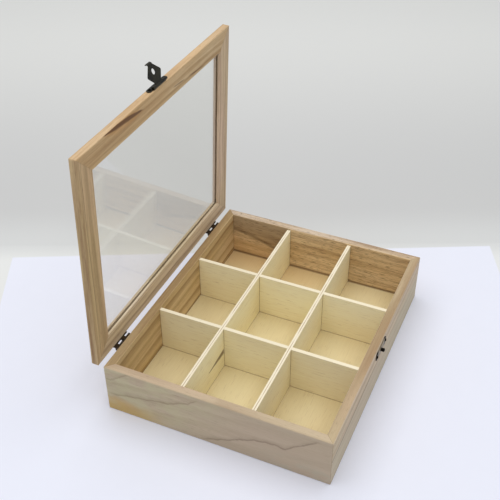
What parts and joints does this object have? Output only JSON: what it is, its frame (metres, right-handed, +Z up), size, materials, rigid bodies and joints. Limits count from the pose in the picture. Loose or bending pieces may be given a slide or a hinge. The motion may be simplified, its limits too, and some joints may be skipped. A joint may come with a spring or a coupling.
{
  "type": "wooden organizer box",
  "caption": "Low mitred wooden box divided into equal cells, with a glass-topped framed lid standing open on pinned stop hinges and a slotted hasp over a stud.",
  "frame": {"origin": "centre of the box's underside, on the surface that it stands on", "axes": "+Z up; -Y the front, with the catch; +Y the back, with the hinges; X along the hinges"},
  "size_m": [0.29, 0.2536, 0.312],
  "materials": {
    "pale_wood": "sanded, unfinished",
    "plywood": "sanded, unfinished",
    "glass": "clear, polished",
    "dark_bronze": "dark bronze, satin"
  },
  "bodies": {
    "box": {"front_wall": "pale_wood", "back_wall": "pale_wood", "left_wall": "pale_wood", "right_wall": "pale_wood", "bottom_panel": "plywood", "divider_long_front": "plywood", "divider_long_back": "plywood", "divider_cross_left": "plywood", "divider_cross_right": "plywood", "hinge_left_box_leaf": "dark_bronze", "hinge_left_pin": "dark_bronze", "hinge_left_box_screws": "dark_bronze", "hinge_right_box_leaf": "dark_bronze", "hinge_right_pin": "dark_bronze", "hinge_right_box_screws": "dark_bronze", "catch_plate": "dark_bronze", "catch_stud": "dark_bronze", "catch_screws": "dark_bronze"},
    "lid": {"lid_front_rail": "pale_wood", "lid_back_rail": "pale_wood", "lid_left_rail": "pale_wood", "lid_right_rail": "pale_wood", "lid_glass": "glass", "hinge_left_lid_leaf": "dark_bronze", "hinge_left_lid_screws": "dark_bronze", "hinge_right_lid_leaf": "dark_bronze", "hinge_right_lid_screws": "dark_bronze", "hasp_plate": "dark_bronze", "hasp_pin": "dark_bronze", "hasp_screws": "dark_bronze"},
    "hasp": {"hasp_leaf": "dark_bronze"}
  },
  "joints": [
    {"name": "lid_hinge", "type": "hinge", "parent": "box", "child": "lid", "pos_m": [0, 0.1202, 0.0538], "axis": [1, 0, 0], "range_deg": [0, 87.6]},
    {"name": "hasp_hinge", "type": "hinge", "parent": "lid", "child": "hasp", "pos_m": [-0.0035, 0.11494, 0.29389], "axis": [1, 0, 0], "range_deg": [0, 119]}
  ]
}
